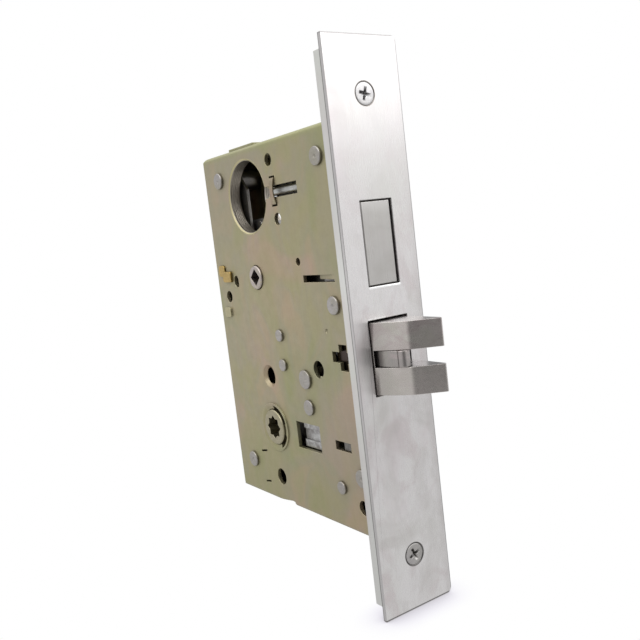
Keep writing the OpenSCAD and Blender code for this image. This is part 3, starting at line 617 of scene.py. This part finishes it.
# pieces that need their own version of a slot's finish
PIECE_FINISH = {
    "inner_front": brushed(
        "finish_inner_front", (0.69, 0.69, 0.67), rough=0.32, lines=0.05, anisotropy=0.5,
        smudge=0.6, edge_gain=1.2, marks=inner_front_painted_shade, stain=1.5),
    "hub_slide": plated(
        "finish_hub_slide", (0.50, 0.50, 0.49), rough=0.34, cloud=0.55,
        second=(0.26, 0.245, 0.24), wear=(0.7, 0.7, 0.7), scale=1.6),
    # painted shade: the tongue gets a darker steel than the latch, as it sits in the shade of
    # the prongs
    "friction_tongue": brushed(
        "finish_tongue_painted_shade", (0.40, 0.38, 0.365), rough=0.26, lines=0.03, anisotropy=0.4,
        smudge=0.5, edge_gain=1.6, marks=latch_stains_and_painted_shade, bumps=0.3),
    "turn_hub": plated(
        "finish_turn_hub", (0.46, 0.405, 0.385), rough=0.34, cloud=0.25,
        second=(0.42, 0.38, 0.31), wear=(0.70, 0.66, 0.55), speck=((0.55, 0.50, 0.33), 700)),
    "latch_rod": plated(
        "finish_rod", (0.36, 0.37, 0.35), rough=0.3, cloud=0.3, wear=(0.7, 0.7, 0.66)),
    "clamp_screw": plated(
        "finish_clamp_screw", (0.46, 0.465, 0.45), rough=0.32, cloud=0.3,
        wear=(0.66, 0.66, 0.62)),
    "clamp_screw_clip": plated(
        "finish_clip", (0.34, 0.30, 0.20), rough=0.38, cloud=0.4,
        second=(0.38, 0.29, 0.22), wear=(0.5, 0.44, 0.32)),
}
# painted shade: the pieces inside the case get a dark finish that stands in for the little light
# reaching them
shaded_inside_finish = plated(
    "finish_inner_pieces_painted_shade", (0.20, 0.19, 0.175), rough=0.4, cloud=0.4,
    second=(0.15, 0.145, 0.14), wear=(0.45, 0.44, 0.41))
for piece in ("key_lever", "hub_spring_stop", "clamp_screw_nut", "retractor_lever",
              "latch_yoke", "latch_guide"):
    PIECE_FINISH[piece] = shaded_inside_finish

# bevel width in mm -> the CAD pieces that get it
PIECES_BY_BEVEL = {
    0.08: ("latch_guide_posts",),
    0.1: ("case_posts", "retractor_post", "limit_stud", "spacer_post", "deadbolt_guide_stud"),
    0.12: ("lever_hub_outside", "lever_hub_inside", "turn_hub"),
    0.14: ("clamp_screw_clip",),
    0.15: ("hub_slide", "front_brackets", "latch_yoke", "key_lever", "retractor_lever",
           "deadbolt_tail", "hub_spring_stop", "clamp_screw_nut", "latch_rod_nut"),
    0.16: ("armor_front", "case_body", "case_cover"),
    0.2: ("friction_tongue", "back_edge_catch", "latch_guide"),
    0.22: ("inner_front", "deadbolt_head"),
    0.28: ("latchbolt_head",),
}


def add_bevel(ob, width, angle):
    bevel = ob.modifiers.new("soft_edges", "BEVEL")
    bevel.width = width * MM
    bevel.segments = 2
    bevel.limit_method = "ANGLE"
    bevel.angle_limit = math.radians(angle)
    return bevel


def soften_cad_piece(ob, width):
    """Merge the CAD faces, bevel their edges and shade them cleanly."""
    weld = ob.modifiers.new("join_faces", "WELD")
    weld.merge_threshold = 2e-6
    clean = ob.modifiers.new("clean", "DECIMATE")
    clean.decimate_type = "DISSOLVE"
    clean.angle_limit = math.radians(0.6)
    bevel = add_bevel(ob, width, angle=38)
    bevel.use_clamp_overlap = True
    bevel.harden_normals = False
    bevel.miter_outer = "MITER_ARC"
    normals = ob.modifiers.new("shade", "WEIGHTED_NORMAL")
    normals.keep_sharp = False
    normals.weight = 100


def dress_cad_pieces():
    slots = {part["node"]: part["material_slot"] for part in frame["record"]["subparts"]}
    widths = {piece: width for width, pieces in PIECES_BY_BEVEL.items() for piece in pieces}
    for name, ob in frame["nodes"].items():
        finish = PIECE_FINISH.get(name) or SLOT_FINISH[slots[name]]
        for slot in ob.material_slots:
            slot.link = "OBJECT"
            slot.material = finish
        if name in widths:
            soften_cad_piece(ob, widths[name])


dress_cad_pieces()


# ------------------------------------------------------------- mesh helpers
def smooth_by_angle(mesh, angle):
    for polygon in mesh.polygons:
        polygon.use_smooth = True
    bm = bmesh.new()
    bm.from_mesh(mesh)
    for edge in bm.edges:
        if len(edge.link_faces) == 2 and edge.calc_face_angle(0.0) > math.radians(angle):
            edge.smooth = False
    bm.to_mesh(mesh)
    bm.free()


def add_object(name, data):
    ob = bpy.data.objects.new(name, data)
    bpy.context.scene.collection.objects.link(ob)
    return ob


def new_piece(name, bm, finish, angle, body="case", replaces=None):
    """Finish a mesh; edges sharper than angle stay sharp."""
    mesh = bpy.data.meshes.new(name)
    bmesh.ops.recalc_face_normals(bm, faces=bm.faces)
    bm.to_mesh(mesh)
    bm.free()
    smooth_by_angle(mesh, angle)
    ob = add_object(name, mesh)
    mesh.materials.append(finish)
    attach(ob, body)
    if replaces:
        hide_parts(replaces)
    return ob


def add_loop(bm, points):
    return [bm.verts.new(Vector(point) * MM) for point in points]


def circle(x, y, z, radius, segments):
    """Points round an axis parallel to Y."""
    angles = [2 * math.pi * k / segments for k in range(segments)]
    return [(x + radius * math.cos(a), y, z + radius * math.sin(a)) for a in angles]


def bridge(bm, first, second, closed=True):
    count = len(first)
    for k in range(count if closed else count - 1):
        after = (k + 1) % count
        bm.faces.new((first[k], first[after], second[after], second[k]))


def bridge_all(bm, loops):
    for first, second in zip(loops, loops[1:]):
        bridge(bm, first, second)


def cap_ends(bm, loops):
    bm.faces.new(loops[0])
    bm.faces.new(list(reversed(loops[-1])))


# ------------------------------------------------------------- helical springs
def coil(name, y_start, y_end, z, coil_radius, wire_radius, turns, node):
    """Round wire wound along Y; dead end turns lie closed on their seats."""
    steps_per_turn = 40
    wire_segments = 10
    dead_turns = 1.0
    tapered_steps = 4
    steps = int(turns * steps_per_turn)
    length = (y_end - y_start) - 2 * wire_radius
    free_turns = turns - 2 * dead_turns
    dead_pitch = 2 * wire_radius * 1.02
    pitch = (length - 2 * dead_turns * dead_pitch) / free_turns
    along = Vector((0, 1, 0))
    bm = bmesh.new()
    loops = []
    for i in range(steps + 1):
        turn = i / steps_per_turn
        if turn < dead_turns:
            y = turn * dead_pitch
        elif turn > turns - dead_turns:
            last_turn = turn - (turns - dead_turns)
            y = dead_turns * dead_pitch + free_turns * pitch + last_turn * dead_pitch
        else:
            y = dead_turns * dead_pitch + (turn - dead_turns) * pitch
        angle = 2 * math.pi * turn
        radial = Vector((math.cos(angle), 0, math.sin(angle)))
        centre = Vector((coil_radius * math.cos(angle), y_start + wire_radius + y,
                         z + coil_radius * math.sin(angle)))
        radius = wire_radius
        if i < tapered_steps or i > steps - tapered_steps:
            radius = wire_radius * 0.96
        section = [2 * math.pi * k / wire_segments for k in range(wire_segments)]
        loops.append(add_loop(bm, [
            centre + radial * radius * math.cos(a) + along * radius * math.sin(a)
            for a in section]))
    bridge_all(bm, loops)
    cap_ends(bm, loops)
    ob = new_piece(name, bm, SLOT_FINISH["spring_steel"],
                   angle=60, replaces=node)
    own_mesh(ob)


coil("latch_coil", y_start=22.75, y_end=54.6, z=LATCH_Z, coil_radius=3.4, wire_radius=0.5,
     turns=11.0, node="latch_spring")
coil("hub_coil", y_start=22.35, y_end=47.65, z=HUB_Z, coil_radius=3.1, wire_radius=0.55,
     turns=9.0, node="hub_spring")


# ------------------------------------------------------------- cylinder threads
def in_notch(angle):
    """Within the gap on the -Y side of the seat."""
    wrapped = (angle + math.pi) % (2 * math.pi) - math.pi
    return abs(abs(wrapped) - math.pi) < math.radians(10.0)


def seat_thread(name, x_start, x_end, notched):
    """Internal helical ridge on the seat's bore."""
    bore_radius = 14.6
    depth = 0.14
    pitch = 0.794
    steps_per_turn = 120
    fade_steps = 12
    # columns: place along X in pitches, height from the bore (negative is inward)
    profile = [(-0.46, 0.02), (-0.08, -depth), (0.08, -depth), (0.46, 0.02)]
    turns = (x_end - x_start - pitch) / pitch
    steps = int(turns * steps_per_turn)
    bm = bmesh.new()
    previous = None
    for i in range(steps + 1):
        angle = 2 * math.pi * i / steps_per_turn
        x = x_start + pitch / 2 + pitch * i / steps_per_turn
        fade = min(1.0, i / fade_steps, (steps - i) / fade_steps)
        points = []
        for along, height in profile:
            radius = bore_radius + (height * fade if height < 0 else height)
            points.append((x + along * pitch, AXIS_Y + radius * math.cos(angle),
                           CYLINDER_Z + radius * math.sin(angle)))
        current = add_loop(bm, points)
        if previous and not (notched and in_notch(angle)):
            bridge(bm, previous, current, closed=False)
        previous = current
    loose = [v for v in bm.verts if not v.link_faces]
    bmesh.ops.delete(bm, geom=loose, context="VERTS")
    new_piece(name, bm, SLOT_FINISH["ring_steel"], angle=50)


seat_thread("seat_thread_outside", x_start=-10.4, x_end=-6.15, notched=True)
seat_thread("seat_thread_inside", x_start=6.25, x_end=10.4, notched=False)


# --------------------------------------------------------- countersunk screws
def armor_screw(name, z, turn, finish):
    """Flat countersunk screw facing -Y: crowned rim, tapered cross recess, threaded shank."""
    segments = 72
    head_radius = 3.9
    # columns: radius, y
    crown = [(head_radius, 0.16), (head_radius - 0.12, 0.06),
             (head_radius - 0.35, 0.02), (head_radius - 0.9, 0.0)]
    # columns: arm length, arm half width, corner fillet, y
    recess = [(2.45, 0.60, 0.35, 0.0), (2.32, 0.52, 0.35, 0.14),
              (1.55, 0.36, 0.3, 1.0), (0.75, 0.28, 0.2, 1.75)]
    # columns: radius, step in y
    thread_turn = [(1.95, 0.18), (1.62, 0.2), (1.62, 0.16), (1.95, 0.2)]
    cone_end = 2.1
    thread_end = 9.2

    def cross(length, half, fillet, y):
        corner = half + fillet * 0.3
        arm = ((length, -half), (length, half), (half + fillet, half), (corner, corner))
        points = []
        for quarter in range(4):
            angle = quarter * math.pi / 2 + turn
            for u, v in arm:
                points.append((u * math.cos(angle) - v * math.sin(angle), y,
                               z + u * math.sin(angle) + v * math.cos(angle)))
        return points

    bm = bmesh.new()
    rims = [add_loop(bm, circle(0, y, z, radius, segments)) for radius, y in crown]
    bridge_all(bm, rims)
    crosses = [add_loop(bm, cross(*station)) for station in recess]
    bridge_all(bm, crosses)
    bm.faces.new(crosses[-1])
    # flat face between the crowned rim and the recess
    edges = []
    for loop in (rims[-1], crosses[0]):
        for k in range(len(loop)):
            edges.append(bm.edges.get((loop[k], loop[(k + 1) % len(loop)])))
    bmesh.ops.triangle_fill(bm, edges=edges, use_beauty=True)
    # cone, threaded shank and tip
    shank = [(head_radius - 0.05, 0.3), (2.0, cone_end)]
    y = cone_end
    while y < thread_end:
        for radius, step in thread_turn:
            y += step
            shank.append((radius, y))
    shank.append((1.15, 10.35))
    previous = rims[0]
    for radius, y in shank:
        current = add_loop(bm, circle(0, y, z, radius, segments))
        bridge(bm, previous, current)
        previous = current
    bm.faces.new(list(reversed(previous)))
    new_piece(name, bm, finish, angle=40, replaces="armor_front_screws")


armor_screw("armor_screw_upper", UPPER_SCREW_Z, math.radians(-14), SLOT_FINISH["screw_steel"])
dull_finish = plated(
    "finish_screw_lower", (0.47, 0.455, 0.44), rough=0.38, cloud=0.35,
    second=(0.33, 0.32, 0.31), wear=(0.6, 0.59, 0.58), corner_shade_reach=0.0016)
armor_screw("armor_screw_lower", LOWER_SCREW_Z, math.radians(22), dull_finish)


# ------------------------------------------------- clamp screw and its strap
def clamp_rod():
    """Headless clamp screw: slotted and threaded in front, plain and thicker behind."""
    segments = 40
    axis_x = -7.85
    crest, root = 1.58, 1.38
    thread_start, thread_end, pitch = 2.2, 30.6, 0.60
    slot_half_width = 0.33
    slot_floor_y = 2.9
    # columns: radius, y
    profile = [(1.35, 1.95), (crest, thread_start)]
    y = thread_start
    while y < thread_end:
        profile += [(crest, y + 0.12), (root, y + 0.30), (root, y + 0.42), (crest, y + pitch)]
        y += pitch
    profile += [(1.5, 31.2), (1.5, 31.9), (1.92, 32.3), (1.92, 50.5), (1.6, 50.95),
                (1.6, 53.8), (0.9, 54.85)]
    bm = bmesh.new()
    loops = [add_loop(bm, circle(axis_x, y, CYLINDER_Z, radius, segments))
             for radius, y in profile]
    bridge_all(bm, loops)
    # slotted end: two half moons, two walls and a floor
    upper, lower = (
        sorted((v for v in loops[0] if side * (v.co.z / MM - CYLINDER_Z) > slot_half_width),
               key=lambda v: -v.co.x)
        for side in (1, -1))
    bm.faces.new(upper)
    bm.faces.new(list(reversed(lower)))
    floor = []
    for rim in (upper, lower):
        floor.append([bm.verts.new(Vector((v.co.x, slot_floor_y * MM, v.co.z)))
                      for v in (rim[0], rim[-1])])
    for rim, (start, end) in zip((upper, lower), floor):
        bm.faces.new((rim[0], rim[-1], end, start))
    bm.faces.new((*floor[0], *reversed(floor[1])))
    bm.faces.new(list(reversed(loops[-1])))
    new_piece("clamp_rod", bm, PIECE_FINISH["clamp_screw"],
              angle=30, body="clamp", replaces="clamp_screw")


def strap():
    """Bowed spring strap over the clamp screw, waisted, feet turned into the case slots."""
    middle_y = 48.55
    middle_z = 55.1
    half_height = 5.1
    waist_half_width = 1.05
    flare = 0.65
    # lower half up to the middle; columns: outer x, outer z, inner x, inner z
    stations = [
        (-9.95, 49.98, -9.95, 50.5),
        (-11.1, 49.98, -11.0, 50.5),
        (-11.48, 50.02, -11.16, 50.56),
        (-11.72, 50.6, -11.24, 51.1),
        (-11.88, 51.6, -11.36, 51.9),
        (-12.05, 53.3, -11.52, 53.5),
        (-12.12, middle_z, -11.58, middle_z),
    ]
    stations += [(outer_x, 2 * middle_z - outer_z, inner_x, 2 * middle_z - inner_z)
                 for outer_x, outer_z, inner_x, inner_z in reversed(stations[:-1])]
    bm = bmesh.new()
    loops = []
    for outer_x, outer_z, inner_x, inner_z in stations:
        reach = min(1.0, abs(outer_z - middle_z) / half_height)
        half_width = waist_half_width + flare * reach ** 1.6
        near, far = middle_y - half_width, middle_y + half_width
        loops.append(add_loop(bm, [(outer_x, near, outer_z), (outer_x, far, outer_z),
                                   (inner_x, far, inner_z), (inner_x, near, inner_z)]))
    bridge_all(bm, loops)
    cap_ends(bm, loops)
    ob = new_piece("screw_strap", bm, PIECE_FINISH["clamp_screw_clip"],
                   angle=50, replaces="clamp_screw_clip")
    add_bevel(ob, width=0.08, angle=50)


clamp_rod()
strap()


# ------------------------------------------------------------------- stage
def floor_material():
    """Lights the lock as a grey surround; the camera sees white with a contact shadow."""
    mat = new_shader("studio_floor", coordinates=None)
    geometry = mat.add("ShaderNodeNewGeometry")
    x, y, _ = mat.separate(geometry.outputs["Position"])
    azimuth = mat.azimuth(x, y)
    distance = mat.hypotenuse(x, y)
    surround = mat.by_azimuth(azimuth, [
        (-180, 0.62), (-70, 0.70), (-8, 0.68), (6, 0.22), (46, 0.20), (62, 0.66),
        (112, 0.68), (135, 0.82), (180, 0.84)])
    color = mat.tint((0.70, 0.70, 0.70), surround, distance, band=(0.16, 0.27), amount=1.0)
    strength = mat.remap(distance, band=(0.45, 0.9), to=(1.0, 1.24))
    glow = mat.add("ShaderNodeEmission")
    mat.link(color, glow.inputs[0])
    mat.link(strength, glow.inputs[1])

    # painted contact shadow: occlusion darkens the white that the camera sees
    occlusion = mat.add("ShaderNodeAmbientOcclusion", samples=12)
    occlusion.inputs["Distance"].default_value = 0.012
    paper = mat.add("ShaderNodeEmission")
    shadow = mat.ramp(occlusion.outputs["AO"], [
        (0.30, (0.42, 0.41, 0.42)), (0.62, (0.78, 0.76, 0.82)),
        (0.86, (0.95, 0.94, 0.98)), (0.97, (1, 1, 1))])
    mat.link(shadow, paper.inputs[0])
    paper.inputs[1].default_value = 1.0
    mat.camera_switch(lighting=glow, seen=paper)
    return mat.owner


def stage_floor():
    half_size = 6.0  # metres
    gap = 0.0002  # metres below the lock
    z = cad_low.z - gap
    mesh = bpy.data.meshes.new("studio_floor")
    bm = bmesh.new()
    corners = ((-1, -1), (1, -1), (1, 1), (-1, 1))
    bm.faces.new([bm.verts.new((x * half_size, y * half_size, z)) for x, y in corners])
    bm.to_mesh(mesh)
    bm.free()
    ob = add_object("studio_floor", mesh)
    mesh.materials.append(floor_material())


stage_floor()


# ------------------------------------------------------------------- light
def studio_world():
    """Bright room with a bright bank toward -Y and +X, and a dark panel toward -Y and -X."""
    world = bpy.data.worlds.new("studio")
    bpy.context.scene.world = world
    sky = Shader(world, output="ShaderNodeOutputWorld", coordinates="Generated")
    x, y, z = sky.separate(sky.position)
    height = sky.remap(z, band=(-1.0, 1.0), to=(0.0, 1.0))
    azimuth = sky.azimuth(x, y)

    general = sky.by_height(height, [
        (-1.0, 0.45), (-0.3, 0.70), (0.0, 0.78), (0.25, 0.82), (0.5, 1.15), (0.75, 1.6),
        (1.0, 1.8)])
    bank = sky.by_height(height, [
        (-1.0, 0.6), (-0.12, 0.80), (0.0, 0.92), (0.075, 0.95), (0.125, 1.25), (0.175, 1.9),
        (0.5, 2.0), (1.0, 1.9)])
    bank_mask = sky.by_azimuth(azimuth, [(-100, 0.0), (-70, 1.0), (-4, 1.0), (6, 0.0)])
    panel = sky.by_azimuth(azimuth, [(-4, 1.0), (7, 0.24), (45, 0.22), (58, 1.0)])
    panel_mask = sky.by_height(height, [(-0.7, 0.0), (-0.5, 1.0), (0.35, 1.0), (0.6, 0.0)])
    back = sky.by_azimuth(
        azimuth, [(-180, 0.5), (-120, 0.5), (-95, 1.0), (172, 1.0), (180, 0.5)])
    back_mask = sky.by_height(height, [(-0.7, 1.0), (0.3, 1.0), (0.6, 0.0)])

    color = sky.mix(bank_mask, general, bank)
    for mask, darkening in ((back_mask, back), (panel_mask, panel)):
        color = sky.mix(1.0, color, sky.mix(mask, (1.0, 1.0, 1.0), darkening), "MULTIPLY")
    room = sky.add("ShaderNodeBackground")
    sky.link(color, room.inputs[0])
    room.inputs[1].default_value = 1.0
    white = sky.add("ShaderNodeBackground")
    white.inputs[0].default_value = (1, 1, 1, 1)
    white.inputs[1].default_value = 1.0
    sky.camera_switch(lighting=room, seen=white)


def key_softbox():
    location = Vector((-0.75, -0.25, 0.95))
    target = Vector((0, 0.04, 0.0))
    light = bpy.data.lights.new("key_softbox", "AREA")
    light.shape = "RECTANGLE"
    light.size = 0.7
    light.size_y = 0.7
    light.energy = 2.4
    ob = add_object("key_softbox", light)
    ob.location = location
    ob.rotation_euler = (target - location).to_track_quat("-Z", "Y").to_euler()


studio_world()
key_softbox()


# ------------------------------------------------------------------ camera
def add_camera():
    """Looks at the lock from the -X, -Y side, slightly downward."""
    right = (0.819019342, -0.561690799, -0.117092972)
    up = (0.161107560, 0.029264594, 0.986502883)
    backward = (-0.550682914, -0.826829505, 0.114460903)
    placement = Matrix((right, up, backward)).transposed().to_4x4()
    placement.translation = (-0.166177, -0.206145, 0.037540)
    camera = bpy.data.cameras.new("camera")
    ob = add_object("camera", camera)
    ob.matrix_world = placement
    camera.sensor_width = 36.0
    camera.sensor_fit = "HORIZONTAL"
    camera.lens = 42.810075
    camera.clip_start = 0.005
    camera.clip_end = 20
    bpy.context.scene.camera = ob


def render_settings():
    scene = bpy.context.scene
    scene.view_settings.view_transform = "Standard"
    scene.view_settings.look = "None"
    scene.view_settings.exposure = 0.0
    scene.view_settings.gamma = 1.0
    scene.cycles.max_bounces = 8
    scene.cycles.diffuse_bounces = 4
    scene.cycles.glossy_bounces = 5


add_camera()
render_settings()
